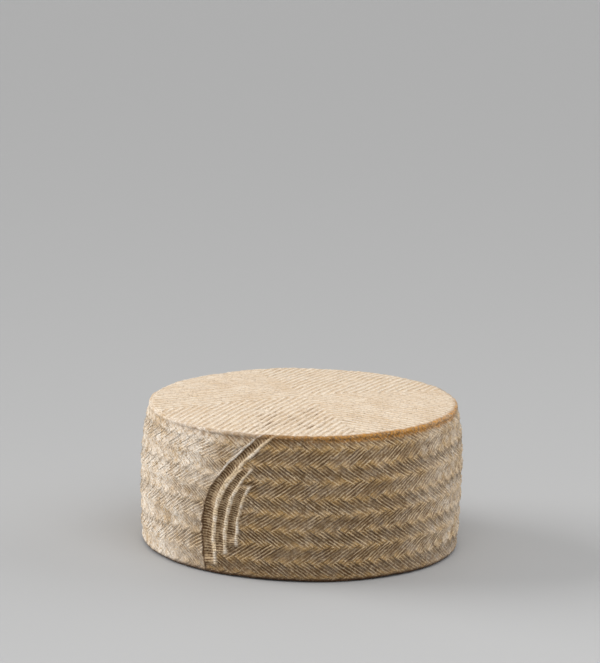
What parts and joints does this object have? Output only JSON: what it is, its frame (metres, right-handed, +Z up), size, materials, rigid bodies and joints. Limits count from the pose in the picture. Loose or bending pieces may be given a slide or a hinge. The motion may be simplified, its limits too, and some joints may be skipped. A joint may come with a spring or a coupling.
{
  "type": "cheese wheel",
  "caption": "Whole round wheel of pressed sheep's-milk cheese with a herringbone imprint of a plaited straw belt round its side; free-standing food item.",
  "frame": {"origin": "centre of the base, on the surface it rests on", "axes": "+Z up along the wheel's axis; the side with the mark of the belt's end, on its left, faces -Y"},
  "size_m": [0.2, 0.2, 0.092],
  "materials": {
    "rind": "dry natural cheese rind: cream to beige with a whitish bloom, olive-brown in the grooves and orange-brown along the lip"
  },
  "bodies": {
    "root": {"cheese_wheel": "rind"}
  },
  "joints": []
}
